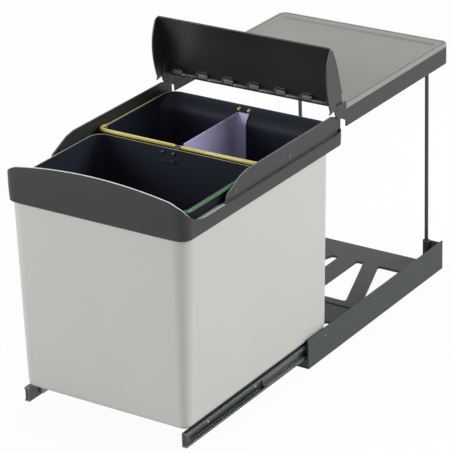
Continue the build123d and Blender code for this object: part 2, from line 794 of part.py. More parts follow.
def plate_rivets():
    """The four rivets that hold the side plates to the collar's lugs."""
    solids = []
    for y in rivet_ys:
        start = plate_inner_face - rivet_lug_thickness
        shank = rod_x(start, plate_outer_face, y, rivet_z, rivet_diameter / 2)
        head = rod_x(plate_outer_face, plate_outer_face + rivet_head_height, y, rivet_z,
                     rivet_head / 2)
        rivet = shank + head
        rivet = chamfer(rivet.edges().filter_by(GeomType.CIRCLE).sort_by(Axis.X)[-1],
                        rivet_head_height / 2)
        solids += [rivet, mirrored(rivet)]
    return Compound(children=solids)


# ---------- buckets ----------
def bucket_form(y0, y1, inset, bottom):
    """The tapering body of one bucket, or its inside when inset by the wall."""
    foot = rounded_plan(bucket_half_width - bucket_draft - inset, y0 + bucket_draft + inset,
                        y1 - bucket_draft - inset, bucket_foot_corner - inset, bottom)
    mouth = rounded_plan(bucket_half_width - inset, y0 + inset, y1 - inset,
                         bucket_corner - inset, bucket_top)
    body = loft([foot, mouth])
    return fillet(body.edges().group_by(Axis.Z)[0], bucket_foot_radius - inset)


def bucket_flange_ring(y0, y1, keep_from, keep_to):
    """The outward flange under the bag ring, kept between two places along Y."""
    top = bucket_top - flange_drop + flange_thickness
    ring = rounded_block(bucket_half_width + bucket_flange, y0 - bucket_flange, y1 + bucket_flange,
                         bucket_corner + bucket_flange, bucket_top - flange_drop, top)
    return ring & box_between(-bin_half, bin_half, keep_from, keep_to,
                              bucket_bottom, bucket_top)


def front_bucket():
    """The wide front bucket, with two holes in its rear wall for the ring tips."""
    rear = bucket_split - bucket_gap / 2
    body = bucket_form(front_bucket_front, rear, 0, bucket_bottom)
    body = body + bucket_flange_ring(front_bucket_front, rear, bin_front, rear - flange_clear)
    body = body - bucket_form(front_bucket_front, rear, bucket_wall, bucket_floor)
    body = body - mouth_opening(front_bucket_front, rear)
    for x in green_tip_xs:
        body = body - rod_y(x, rear - 3 * bucket_wall, rear + CUT, ring_low_z,
                            ring_diameter / 2 + ring_tip_fit)
    groove_top = bucket_top - clip_drop - clip_height
    groove = box_between(groove_x - bucket_groove_width / 2, groove_x + bucket_groove_width / 2,
                         rear - bucket_draft - bucket_wall - CUT,
                         rear - bucket_wall + bucket_groove_depth,
                         bucket_floor + bucket_foot_radius, groove_top)
    return body - (groove & bucket_form(front_bucket_front, rear,
                                        bucket_wall - bucket_groove_depth, bucket_floor))


def mouth_opening(y0, y1):
    """Cuts the inside clean through the top of one bucket."""
    return rounded_block(bucket_half_width - bucket_wall, y0 + bucket_wall, y1 - bucket_wall,
                         bucket_corner - bucket_wall, bucket_top - bucket_wall / 2, bucket_top + CUT)


def rear_bucket():
    """The rear bucket, flared backwards above the collar's rear deck."""
    front = bucket_split + bucket_gap / 2
    flare_floor = bucket_top - flare_depth
    body = bucket_form(front, rear_bucket_rear, 0, bucket_bottom)
    body = body + rounded_block(bucket_half_width, front, flare_rear, bucket_corner,
                                flare_floor, bucket_top)
    body = body + bucket_flange_ring(front, flare_rear, front + bucket_flange,
                                     flare_rear - flange_clear)
    body = body - bucket_form(front, rear_bucket_rear, bucket_wall, bucket_floor)
    body = body - rounded_block(bucket_half_width - bucket_wall, front + bucket_wall,
                                flare_rear - bucket_wall, bucket_corner - bucket_wall,
                                flare_floor + bucket_wall, bucket_top + CUT)
    for x in (-yellow_tip_x, yellow_tip_x):
        body = body - rod_y(x, flare_rear - 2 * bucket_wall, flare_rear + CUT, ring_low_z,
                            ring_diameter / 2 + ring_tip_fit)
    return body


# ---------- bag rings, clips and divider ----------
def green_bag_ring():
    """The green ring round the front bucket, its two ends turned in through the rear wall."""
    front_y = front_bucket_front - ring_gap - ring_diameter / 2
    rear = bucket_split
    tip_y = bucket_split - bucket_gap / 2 - green_tip_reach
    left_x, right_x = green_tip_xs
    points = [(left_x, tip_y, ring_low_z), (left_x, rear, ring_low_z), (-ring_x, rear, ring_low_z),
              (-ring_x, rear - ring_ramp, ring_z), (-ring_x, front_y, ring_z),
              (ring_x, front_y, ring_z), (ring_x, rear - ring_ramp, ring_z),
              (ring_x, rear, ring_low_z), (right_x, rear, ring_low_z), (right_x, tip_y, ring_low_z)]
    radii = [ring_tip_bend, ring_bend, ring_bend, ring_bend, ring_bend, ring_bend, ring_bend,
             ring_tip_bend]
    return bent_bar(points, radii, ring_diameter)


def yellow_bag_ring():
    """The right half of the yellow ring round the rear bucket."""
    rear = flare_rear + ring_tip_bend
    points = [(ring_split_half, bucket_split, ring_z), (ring_x, bucket_split, ring_z),
              (ring_x, rear - ring_ramp, ring_z), (ring_x, rear, ring_low_z),
              (yellow_tip_x, rear, ring_low_z),
              (yellow_tip_x, flare_rear - yellow_tip_reach, ring_low_z)]
    return bent_bar(points, [ring_bend, ring_bend, ring_bend, ring_tip_bend], ring_diameter)


def front_ring_clip():
    """The dark clip that joins the two halves of the yellow ring at the front."""
    half = ring_diameter / 2
    clip = box_between(-ring_split_half, ring_split_half, bucket_split - half, bucket_split + half,
                       ring_z - half, ring_z + half + ring_gap)
    return fillet(clip.edges().filter_by(Axis.X).group_by(Axis.Z)[-1], half / 2)


def green_ring_clip():
    """The small rest under the green tips, on the front bucket's rear wall."""
    z1 = bucket_top - clip_drop
    slope = bucket_draft / (bucket_top - bucket_bottom)
    wall_y = bucket_split - bucket_gap / 2 - bucket_wall - slope * (clip_drop + clip_height)
    middle = sum(green_tip_xs) / 2
    clip = box_between(middle - clip_width / 2, middle + clip_width / 2, wall_y - clip_depth,
                       wall_y - ring_gap / 3, z1 - clip_height, z1)
    return fillet(clip.edges().filter_by(Axis.Z).group_by(Axis.Y)[0], clip_height / 2)


def divider():
    """The translucent divider: a web on a foot, with a flange against the rear wall."""
    slope = bucket_draft / (bucket_top - bucket_bottom)
    top = bucket_top - divider_gap
    rear_top = rear_bucket_rear - bucket_wall - divider_gap
    rear_low = rear_top - slope * (top - bucket_floor) - divider_gap
    half = divider_thickness / 2
    web = side_profile([(divider_front, bucket_floor + divider_chamfer), (divider_front, top),
                        (rear_top, top), (rear_low, bucket_floor + divider_chamfer),
                        (rear_low - divider_chamfer, bucket_floor),
                        (divider_front + divider_chamfer, bucket_floor)], -half, half)
    flange = side_profile([(rear_top - divider_thickness, top), (rear_top, top),
                           (rear_low, bucket_floor + divider_chamfer),
                           (rear_low - divider_thickness, bucket_floor + divider_chamfer)],
                          -divider_flange_half, divider_flange_half)
    foot = box_between(-divider_foot_half, divider_foot_half, divider_front + divider_chamfer,
                       rear_low - divider_chamfer, bucket_floor, bucket_floor + divider_thickness)
    return web + flange + foot


# ---------- the nodes ----------
save("base_tray", base_tray())
save("post_right", post())
save("post_left", mirrored(post()))
save("shelf_frame", shelf_frame())
save("shelf_tray", shelf_tray())
save("hinge_rod", hinge_rod())
save("lid", lid())

inner_row = middle_half + ball_gap / 2
outer_row = fixed_half + ball_gap / 2
inner_centre = (middle_front + moving_rear) / 2
outer_centre = (runner_front + middle_rear) / 2
inner_ball_x = middle_back_x + ball_inset
outer_ball_x = fixed_rail_x + ball_inset
right_side = {
    "runner_fixed": runner_fixed(),
    "runner_middle": runner_middle(),
    "runner_moving": runner_moving(),
    "inner_cage": cage(moving_inner_x, inner_ball_x, inner_row, inner_centre),
    "outer_cage": cage(middle_inner_x, outer_ball_x, outer_row, outer_centre),
    "inner_balls": balls(inner_ball_x, inner_row, inner_centre),
    "outer_balls": balls(outer_ball_x, outer_row, outer_centre),
    "runner_stop": runner_stop(),
    "side_plate": side_plate(),
    "yellow_bag_ring": yellow_bag_ring(),
}
for name, shape in right_side.items():
    save(f"{name}_right", shape)
    save(f"{name}_left", mirrored(shape))

save("runner_screws", runner_screws())
save("container", container())
save("container_screws", container_screws())
save("collar", collar())
save("plate_rivets", plate_rivets())
save("front_bucket", front_bucket())
save("rear_bucket", rear_bucket())
save("green_bag_ring", green_bag_ring())
save("front_ring_clip", front_ring_clip())
save("green_ring_clip", green_ring_clip())
save("divider", divider())
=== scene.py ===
from math import radians

import bmesh
import bpy
import numpy as np
from mathutils import Matrix, Vector


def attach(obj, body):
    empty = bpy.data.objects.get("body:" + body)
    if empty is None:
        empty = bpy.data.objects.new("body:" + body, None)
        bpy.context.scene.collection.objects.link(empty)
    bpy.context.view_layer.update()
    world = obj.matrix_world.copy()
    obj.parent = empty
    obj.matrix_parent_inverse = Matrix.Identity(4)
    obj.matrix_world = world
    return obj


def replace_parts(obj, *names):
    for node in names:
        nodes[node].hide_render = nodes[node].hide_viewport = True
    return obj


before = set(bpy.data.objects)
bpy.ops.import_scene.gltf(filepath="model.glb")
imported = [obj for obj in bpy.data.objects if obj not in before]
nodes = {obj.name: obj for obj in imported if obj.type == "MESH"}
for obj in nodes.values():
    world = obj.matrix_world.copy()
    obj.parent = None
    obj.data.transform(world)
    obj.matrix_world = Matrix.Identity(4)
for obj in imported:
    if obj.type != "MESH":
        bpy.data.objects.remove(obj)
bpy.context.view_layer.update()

# ---------- studio ----------
# The view the unit is shown from: a long lens, right of centre and above, turned
# slightly, looking at the pulled-out bin. White surroundings, large soft lamps.


def look(yaw, pitch, roll, place, lens):
    """A camera whose axes come from yaw about Z, then pitch down, then roll."""
    cy, sy = np.cos(radians(yaw)), np.sin(radians(yaw))
    cp, sp = np.cos(radians(pitch)), np.sin(radians(pitch))
    forward = np.array([-sy * cp, cy * cp, -sp])
    right = np.array([cy, sy, 0.0])
    up = np.cross(right, forward)
    cr, sr = np.cos(radians(roll)), np.sin(radians(roll))
    right, up = right * cr + up * sr, up * cr - right * sr
    data = bpy.data.cameras.new("view")
    data.lens = lens
    data.sensor_width = 36.0
    data.clip_end = 50.0
    cam = bpy.data.objects.new("view", data)
    bpy.context.collection.objects.link(cam)
    turn = Matrix([list(v) for v in zip(right, up, -forward)])
    cam.matrix_world = Matrix.Translation(place) @ turn.to_4x4()
    bpy.context.scene.camera = cam


look(34.06, 23.82, -1.89, (2.06421, -3.26926, 1.84323), 197.27)


def lamp(name, place, target, size, power, tint):
    """A soft rectangular lamp aimed at a point."""
    data = bpy.data.lights.new(name, "AREA")
    data.shape = "RECTANGLE"
    data.size, data.size_y = size
    data.energy = power
    data.color = tint
    obj = bpy.data.objects.new(name, data)
    bpy.context.collection.objects.link(obj)
    aim = Vector(target) - Vector(place)
    obj.matrix_world = Matrix.Translation(place) @ aim.to_track_quat("-Z", "Y").to_matrix().to_4x4()


lamp("right_lamp", (3.1, 1.2, 2.2), (0, -0.2, 0.2), (2.0, 2.0), 118, (1.0, 0.995, 0.98))
lamp("left_front_lamp", (-2.7, -3.0, 1.7), (0, -0.3, 0.25), (2.2, 1.8), 102, (0.985, 0.99, 1.0))
lamp("top_lamp", (-0.6, 0.9, 2.8), (0, -0.1, 0.3), (1.8, 1.8), 16, (1.0, 1.0, 1.0))


def seen_rays(tree):
    """One for rays that show the background: camera, glossy or transmission; else zero."""
    path = tree.nodes.new("ShaderNodeLightPath")
    either, all_three = tree.nodes.new("ShaderNodeMath"), tree.nodes.new("ShaderNodeMath")
    either.operation = all_three.operation = "MAXIMUM"
    tree.links.new(path.outputs["Is Camera Ray"], either.inputs[0])
    tree.links.new(path.outputs["Is Glossy Ray"], either.inputs[1])
    tree.links.new(either.outputs[0], all_three.inputs[0])
    tree.links.new(path.outputs["Is Transmission Ray"], all_three.inputs[1])
    return all_three.outputs[0]


def white_room(lighting=0.42, shown=1.0):
    """A grey-white world for the light, pure white to the camera and in mirrors."""
    world = bpy.data.worlds.new("white_room")
    bpy.context.scene.world = world
    world.use_nodes = True
    tree = world.node_tree
    background = tree.nodes["Background"]
    background.inputs["Color"].default_value = (1, 1, 1, 1)
    strength = tree.nodes.new("ShaderNodeMapRange")
    strength.inputs["To Min"].default_value = lighting
    strength.inputs["To Max"].default_value = shown
    tree.links.new(seen_rays(tree), strength.inputs["Value"])
    tree.links.new(strength.outputs["Result"], background.inputs["Strength"])


white_room()


def floor(half=6.0, drop=0.0006, white=0.95):
    """A pale floor just under the unit: mostly white to seen rays, so a faint shadow stays."""
    mesh = bpy.data.meshes.new("floor")
    mesh.from_pydata([(-half, -half, 0), (half, -half, 0), (half, half, 0), (-half, half, 0)],
                     [], [(0, 1, 2, 3)])
    plane = bpy.data.objects.new("floor", mesh)
    bpy.context.collection.objects.link(plane)
    plane.location.z = -drop
    paint = bpy.data.materials.new("floor_white")
    paint.use_nodes = True
    tree = paint.node_tree
    tree.nodes.clear()
    out = tree.nodes.new("ShaderNodeOutputMaterial")
    mix = tree.nodes.new("ShaderNodeMixShader")
    matte = tree.nodes.new("ShaderNodeBsdfDiffuse")
    matte.inputs["Color"].default_value = (0.8, 0.8, 0.8, 1)
    glow = tree.nodes.new("ShaderNodeEmission")
    share = tree.nodes.new("ShaderNodeMath")
    share.operation = "MULTIPLY"
    share.inputs[1].default_value = white
    tree.links.new(seen_rays(tree), share.inputs[0])
    tree.links.new(share.outputs[0], mix.inputs["Fac"])
    tree.links.new(matte.outputs[0], mix.inputs[1])
    tree.links.new(glow.outputs[0], mix.inputs[2])
    tree.links.new(mix.outputs[0], out.inputs["Surface"])
    mesh.materials.append(paint)


floor()
bpy.context.scene.view_settings.view_transform = "Standard"

# ---------- base tray ----------
# One dark grey moulding: a floor lattice between two rails, with a socket for each
# post at the back. Its faces have the fine grain of an eroded mould.


def grain_group():
    """Mould grain: fine noise for the height, broad noise for the tone."""
    group = bpy.data.node_groups.new("mould_grain", "ShaderNodeTree")
    face = group.interface
    face.new_socket("Grain Scale", in_out="INPUT", socket_type="NodeSocketFloat")
    face.new_socket("Height", in_out="OUTPUT", socket_type="NodeSocketFloat")
    face.new_socket("Tone", in_out="OUTPUT", socket_type="NodeSocketFloat")
    tree = group.nodes
    enter, leave = tree.new("NodeGroupInput"), tree.new("NodeGroupOutput")
    place = tree.new("ShaderNodeTexCoord")
    fine, broad = tree.new("ShaderNodeTexNoise"), tree.new("ShaderNodeTexNoise")
    fine.inputs["Detail"].default_value = 3.0
    broad.inputs["Scale"].default_value = 9.0
    broad.inputs["Detail"].default_value = 4.0
    link = group.links.new
    link(place.outputs["Object"], fine.inputs["Vector"])
    link(place.outputs["Object"], broad.inputs["Vector"])
    link(enter.outputs["Grain Scale"], fine.inputs["Scale"])
    link(fine.outputs["Fac"], leave.inputs["Height"])
    link(broad.outputs["Fac"], leave.inputs["Tone"])
    return group


def edge_group():
    """Rounded edges: a softened normal, and a mask where it leaves the flat faces, which places the
    painted edge highlight.
    """
    group = bpy.data.node_groups.new("soft_edge", "ShaderNodeTree")
    face = group.interface
    face.new_socket("Radius", in_out="INPUT", socket_type="NodeSocketFloat")
    face.new_socket("Normal", in_out="OUTPUT", socket_type="NodeSocketVector")
    face.new_socket("Edge", in_out="OUTPUT", socket_type="NodeSocketFloat")
    tree = group.nodes
    enter, leave = tree.new("NodeGroupInput"), tree.new("NodeGroupOutput")
    bevel, flat = tree.new("ShaderNodeBevel"), tree.new("ShaderNodeNewGeometry")
    bevel.samples = 6
    alike, mask = tree.new("ShaderNodeVectorMath"), tree.new("ShaderNodeMapRange")
    alike.operation = "DOT_PRODUCT"
    mask.inputs["From Min"].default_value = 0.985
    mask.inputs["From Max"].default_value = 0.85
    link = group.links.new
    link(enter.outputs["Radius"], bevel.inputs["Radius"])
    link(bevel.outputs["Normal"], alike.inputs[0])
    link(flat.outputs["Normal"], alike.inputs[1])
    link(alike.outputs["Value"], mask.inputs["Value"])
    link(bevel.outputs["Normal"], leave.inputs["Normal"])
    link(mask.outputs["Result"], leave.inputs["Edge"])
    return group


mould_grain = grain_group()
soft_edge = edge_group()


def moulded(name, dark, light, rough, edge, rim=0.0008, grain=900.0, depth=0.00004,
            coat=0.0, metal=0.0, gloss=0.5):
    """A moulded or coated finish: two close tones, a painted highlight in a paler colour along rounded
    edges, fine grain.
    """
    finish = bpy.data.materials.new(name)
    finish.use_nodes = True
    tree = finish.node_tree
    shader = tree.nodes["Principled BSDF"]
    shader.inputs["Coat Weight"].default_value = coat
    shader.inputs["Specular IOR Level"].default_value = gloss
    shader.inputs["Metallic"].default_value = metal
    grains, edges = tree.nodes.new("ShaderNodeGroup"), tree.nodes.new("ShaderNodeGroup")
    grains.node_tree, edges.node_tree = mould_grain, soft_edge
    grains.inputs["Grain Scale"].default_value = grain
    edges.inputs["Radius"].default_value = rim
    tone, painted_edge_highlight = tree.nodes.new("ShaderNodeMix"), tree.nodes.new("ShaderNodeMix")
    tone.data_type = painted_edge_highlight.data_type = "RGBA"
    tone.inputs["A"].default_value = (*dark, 1)
    tone.inputs["B"].default_value = (*light, 1)
    painted_edge_highlight.inputs["B"].default_value = (*edge, 1)
    sheen = tree.nodes.new("ShaderNodeMapRange")
    sheen.inputs["To Min"].default_value = rough - 0.05
    sheen.inputs["To Max"].default_value = rough + 0.05
    bump = tree.nodes.new("ShaderNodeBump")
    bump.inputs["Distance"].default_value = depth
    link = tree.links.new
    link(grains.outputs["Tone"], tone.inputs["Factor"])
    link(grains.outputs["Tone"], sheen.inputs["Value"])
    link(grains.outputs["Height"], bump.inputs["Height"])
    link(edges.outputs["Normal"], bump.inputs["Normal"])
    # The edge colour is a painted highlight, mixed in where the softened normal leaves the flat faces.
    link(edges.outputs["Edge"], painted_edge_highlight.inputs["Factor"])
    link(tone.outputs["Result"], painted_edge_highlight.inputs["A"])
    link(painted_edge_highlight.outputs["Result"], shader.inputs["Base Color"])
    link(sheen.outputs["Result"], shader.inputs["Roughness"])
    link(bump.outputs["Normal"], shader.inputs["Normal"])
    return finish


def dress(finish, *names):
    """Gives CAD nodes one finish."""
    for name in names:
        slots = nodes[name].material_slots
        if not slots:
            nodes[name].data.materials.append(finish)
        for place in nodes[name].material_slots:
            place.material = finish


dark_plastic = moulded("dark_plastic", (0.036, 0.043, 0.0395), (0.046, 0.054, 0.050), 0.5,
                       (0.13, 0.14, 0.13), gloss=0.25)
dress(dark_plastic, "base_tray")

# ---------- posts ----------
# Two thin steel rods with a dark grey powder coat. Each is pressed into a socket at the
# back of the base tray and carries one rear corner of the shelf.
post_coat = moulded("post_coat", (0.034, 0.036, 0.039), (0.046, 0.048, 0.051), 0.38,
                    (0.10, 0.10, 0.10))
dress(post_coat, "post_left", "post_right")

# ---------- shelf ----------
# A dark skirt on three sides, closed by a light grey tray with a raised rim, a thin
# groove round it, and a corner radius at the back only.
skirt_plastic = moulded("skirt_plastic", (0.030, 0.0355, 0.033), (0.038, 0.044, 0.041), 0.5,
                        (0.13, 0.14, 0.13), gloss=0.3)
dress(skirt_plastic, "shelf_frame")
shelf_grey = moulded("shelf_grey", (0.225, 0.223, 0.208), (0.258, 0.256, 0.24), 0.45,
                     (0.34, 0.34, 0.31), rim=0.0015, gloss=0.3)


def oblong(half, front, rear, front_corner, rear_corner, arc=9, run=24):
    """A rounded rectangle in plan, anticlockwise from the right rear: four quarter circles
    joined by evenly divided straight runs."""
    turn = np.linspace(0, np.pi / 2, arc)
    centres = [(half - rear_corner, rear - rear_corner, rear_corner),
               (rear_corner - half, rear - rear_corner, rear_corner),
               (front_corner - half, front + front_corner, front_corner),
               (half - front_corner, front + front_corner, front_corner)]
    quarters = [np.stack([x + r * np.cos(turn + k * np.pi / 2),
                          y + r * np.sin(turn + k * np.pi / 2)], 1)
                for k, (x, y, r) in enumerate(centres)]
    share = np.linspace(0, 1, run + 2)[1:-1, None]
    sides = [quarters[k][-1] * (1 - share) + quarters[(k + 1) % 4][0] * share for k in range(4)]
    return np.concatenate([part for k in range(4) for part in (quarters[k], sides[k])])


def moulding(name, body, finish, slot, rings, closed=True, capped=(), sharp=32,
             accent=None, bands=(), where=slice(None)):
    """A surface through rings of equal count: point (i, j) is ring i's point j, and each
    cell of the grid is one face. Millimetres become metres. Caps close the named rings.
    The bands named by ring take the accent finish, at the points that where picks."""
    grid = np.asarray(rings, float) / 1000.0
    count, around = grid.shape[:2]
    index = np.arange(count * around).reshape(count, around)
    below = index if closed else index[:-1]
    above = np.roll(index, -1, 0) if closed else index[1:]
    faces = np.stack([below, np.roll(below, -1, 1), np.roll(above, -1, 1), above], -1)
    faces = faces.reshape(-1, 4).tolist() + [index[k].tolist() for k in capped]
    mesh = bpy.data.meshes.new(name)
    mesh.from_pydata(grid.reshape(-1, 3).tolist(), [], faces)
    paint = np.zeros(len(faces), int)
    cells = paint[:len(below) * around].reshape(-1, around)
    for k in bands:
        cells[k, where] = 1
    mesh.polygons.foreach_set("material_index", paint)
    form = bmesh.new()
    form.from_mesh(mesh)
    bmesh.ops.remove_doubles(form, verts=form.verts, dist=1e-6)
    bmesh.ops.recalc_face_normals(form, faces=form.faces)
    form.to_mesh(mesh)
    form.free()
    mesh.shade_smooth()
    mesh.set_sharp_from_angle(angle=radians(sharp))
    mesh.materials.append(finish)
    if accent:
        mesh.materials.append(accent)
    piece = bpy.data.objects.new(name, mesh)
    bpy.context.collection.objects.link(piece)
    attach(piece, body)
    return piece


def at_height(loop, z):
    """A plan loop lifted to a height, which may differ from point to point."""
    return np.column_stack([loop, np.broadcast_to(z, len(loop))])


shelf_half, shelf_front, shelf_rear = 167.0, -110.0, 231.5
tray_front_corner, tray_rear_corner, recess_corner = 1.0, 14.0, 5.0


def tray_ring(side, back, z):
    """One ring of the shelf tray: its outline drawn in by side and back, at height z."""
    return at_height(oblong(shelf_half - side, shelf_front + side, shelf_rear - back,
                            tray_front_corner, max(tray_rear_corner - side, recess_corner)), z)


# The tray's section from its underside over the band, edge, groove and rim to the recess:
# how far each ring is drawn in at the sides and at the back, and its height.
tray_profile = [(2.4, 2.4, 416), (0, 0, 416), (0, 0, 420.5), (0.45, 0.45, 421.55), (1.5, 1.5, 422),
                (4.8, 4.8, 422), (5.2, 5.2, 421), (6.8, 6.8, 421), (7.2, 7.2, 422),
                (13.0, 21.0, 422), (14.0, 22.0, 421.5), (15.5, 23.5, 419.5), (17.0, 25.0, 419)]
# The groove's walls and floor take a darker finish: painted shade in the recess.
groove_painted_shade = moulded("groove_painted_shade", (0.10, 0.10, 0.092), (0.13, 0.13, 0.118), 0.55,
                      (0.2, 0.2, 0.18))
tray = moulding("shelf_tray_top", "cabinet", shelf_grey, "shelf_grey",
                [tray_ring(*station) for station in tray_profile], closed=False, capped=(0, -1),
                accent=groove_painted_shade, bands=(5, 6, 7))
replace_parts(tray, "shelf_tray")

# ---------- hinge and lid ----------
# A dark strip with six eyes hangs under the tray's front edge and holds a thin steel
# rod. Seven light grey clips carry a dark moulded leaf on the rod.
hinge_y, hinge_z = -124.0, 424.0
knuckle_pitch, knuckle_offset = 50.0, 5.0
eye_radius, eye_half_width, clip_half_width = 4.0, 12.0, 9.0
zinc = moulded("zinc_plate", (0.42, 0.43, 0.44), (0.55, 0.56, 0.57), 0.3,
               (0.7, 0.7, 0.7), metal=1.0)
dress(zinc, "hinge_rod", "runner_screws", "container_screws")
clip_grey = moulded("clip_grey", (0.12, 0.125, 0.12), (0.15, 0.155, 0.15), 0.45,
                    (0.22, 0.22, 0.21), rim=0.0006)
lid_plastic = moulded("lid_plastic", (0.021, 0.023, 0.0215), (0.027, 0.030, 0.028), 0.42,
                      (0.13, 0.135, 0.125), rim=0.0012)
dress(lid_plastic, "lid")


def barred(outline, x0, x1, soft=0.6):
    """Rings of a bar along X: an outline of (y, z) points drawn in at both ends by soft."""
    points = np.asarray(outline, float)
    middle = points.mean(0)
    drawn = middle + (points - middle) * (1 - soft / np.abs(points - middle).max())
    stations = [(x0, drawn), (x0 + soft, points), (x1 - soft, points), (x1, drawn)]
    return [np.column_stack([np.full(len(p), x), p]) for x, p in stations]


def eye_outline(radius):
    """A hinge eye with its arm, seen from the side: just over half a circle about the rod,
    then straight edges back to the tray's front edge."""
    turn = np.radians(np.linspace(70, 275, 16))
    round_part = np.column_stack([hinge_y + radius * np.cos(turn), hinge_z + radius * np.sin(turn)])
    arm = np.array([(-112.0, 416.8), (-109.9, 416.8), (-109.9, 421.0), (-114.0, 424.5)])
    return np.vstack([round_part, arm])


for step in np.arange(-2.5, 3):
    middle = knuckle_offset + knuckle_pitch * step
    moulding(f"hinge_eye_{int(step + 3)}", "cabinet", lid_plastic, "dark_plastic",
             barred(eye_outline(eye_radius), middle - eye_half_width, middle + eye_half_width),
             closed=False, capped=(0, -1))
moulding("hinge_strip", "cabinet", lid_plastic, "dark_plastic",
         barred([(-110.6, 413.5), (-107.6, 413.5), (-107.6, 416), (-110.6, 416)], -160.5, 160.5),
         closed=False, capped=(0, -1))
clip_outline = [(-129.3, 426), (-129.3, 431), (-128.7, 431.8), (-126.5, 432.2), (-126.5, 425.2),
                (-128.7, 425.3)]
for step in range(-3, 4):
    middle = knuckle_offset + knuckle_pitch * step
    moulding(f"lid_clip_{step + 4}", "lid", clip_grey, "shelf_grey",
             barred(clip_outline, middle - clip_half_width, middle + clip_half_width),
             closed=False, capped=(0, -1))

# A thin cheek inside each end of the lid closes the notch that clears the shelf's lug.
cheek = [(-116.5, 425.5), (-118.7, 435), (-121.5, 446), (-127, 446), (-135, 443.5), (-141.5, 438),
         (-145.5, 431), (-146.5, 425.5)]
for side in (-1, 1):
    moulding("lid_cheek_" + ("left" if side < 0 else "right"), "lid", lid_plastic, "dark_plastic",
             barred(cheek, *sorted((side * 162.4, side * 164.4)), 0.3), closed=False, capped=(0, -1))

# ---------- ball runners ----------
# Three rolled steel channels a side with a black zinc finish: one screwed to the base
# rail, one in the middle, one under the container. Steel balls in plastic cages run
# between them.
# The channels' pale edge colour is a painted highlight.
black_zinc = moulded("black_zinc", (0.045, 0.052, 0.056), (0.075, 0.084, 0.09), 0.26,
                     (0.5, 0.53, 0.55), rim=0.0007, metal=0.6)
cage_plastic = moulded("cage_plastic", (0.25, 0.25, 0.24), (0.33, 0.33, 0.31), 0.5,
                       (0.4, 0.4, 0.4), rim=0.0003)
ball_steel = moulded("ball_steel", (0.6, 0.6, 0.6), (0.7, 0.7, 0.7), 0.12,
                     (0.7, 0.7, 0.7), rim=0.0001, metal=1.0)
black_plastic = moulded("black_plastic", (0.012, 0.013, 0.015), (0.02, 0.021, 0.024), 0.4,
                        (0.05, 0.05, 0.05), rim=0.0005)
for side in ("left", "right"):
    dress(black_zinc, f"runner_fixed_{side}", f"runner_middle_{side}", f"runner_moving_{side}")
    dress(cage_plastic, f"inner_cage_{side}", f"outer_cage_{side}")
    dress(ball_steel, f"inner_balls_{side}", f"outer_balls_{side}")
    dress(black_plastic, f"runner_stop_{side}")

# ---------- container ----------
# A light grey moulded box with rounded corners that tapers to its foot. It is screwed
# to the moving channels of the runners.
bin_grey = moulded("bin_grey", (0.455, 0.453, 0.430), (0.49, 0.487, 0.462), 0.48,
                   (0.6, 0.6, 0.57), rim=0.001)
dress(bin_grey, "container")

# ---------- collar and side plates ----------
# The dark collar caps the container: an arched front panel sweeps down to a low wall
# with a ledge inside it. A coated steel plate stands along each side of the ledge.
collar_plastic = moulded("collar_plastic", (0.0245, 0.0295, 0.0275), (0.031, 0.0365, 0.034), 0.45,
                         (0.08, 0.085, 0.08), rim=0.0009, gloss=0.3)
# A pale finish for a painted highlight along the front arch's rounded top.
collar_painted_highlight = moulded("collar_painted_highlight", (0.62, 0.63, 0.6), (0.7, 0.71, 0.68), 0.3, (0.7, 0.7, 0.68))
# The plates' pale edge colour is a painted highlight.
plate_coat = moulded("plate_coat", (0.024, 0.0285, 0.0265), (0.031, 0.0355, 0.033), 0.38,
                     (0.5, 0.51, 0.49), rim=0.001, gloss=0.3)
dress(plate_coat, "side_plate_left", "side_plate_right", "plate_rivets")
collar_half, collar_front, collar_rear, collar_corner = 168.0, -570.5, -114.5, 19.0
collar_foot, under_ledge, ledge_z, bead = 360.0, 378.6, 381.0, 1.2
arch_top, arch_fall, end_fall, end_start = 432.8, 17.0, 9.3, 0.85
sweep_rise, sweep_length, sweep_cut = 37.5, 19.5, 1.2
back_rise, back_start, back_length = 4.4, 26.0, 18.0
ledge_width, rear_deck = 8.0, 36.0


def collar_outline(inset):
    """The collar's outline in plan, drawn in evenly by inset."""
    return oblong(collar_half - inset, collar_front + inset, collar_rear - inset,
                  collar_corner - inset, collar_corner - inset, arc=17, run=40)


def collar_top(loop):
    """The wall's top: the lower of the front arch, which falls with the square of the
    distance from the middle and faster at its ends, and a sweep that decays along the
    sides. The wall rises a little again at the back."""
    share = np.abs(loop[:, 0]) / collar_half
    ends = np.maximum(0, (share - end_start) / (1 - end_start))
    arch = arch_top - arch_fall * share ** 2 - end_fall * ends ** 1.3
    depth = loop[:, 1] - collar_front
    sweep = ledge_z + np.maximum(0, sweep_rise * np.exp(-depth / sweep_length) - sweep_cut)
    front_face = depth < 0.01
    side = np.where(front_face, arch, np.minimum(arch, sweep))
    back = ledge_z + back_rise * np.clip((loop[:, 1] - collar_rear + back_start) / back_length, 0, 1)
    return np.maximum(side, back)


def ledge_outline(inset):
    """The ledge's inner edge: narrow in front and at the sides, a wide deck at the back."""
    return oblong(collar_half - ledge_width - inset, collar_front + ledge_width + inset,
                  collar_rear - rear_deck - inset, 11, 12, arc=17, run=40)


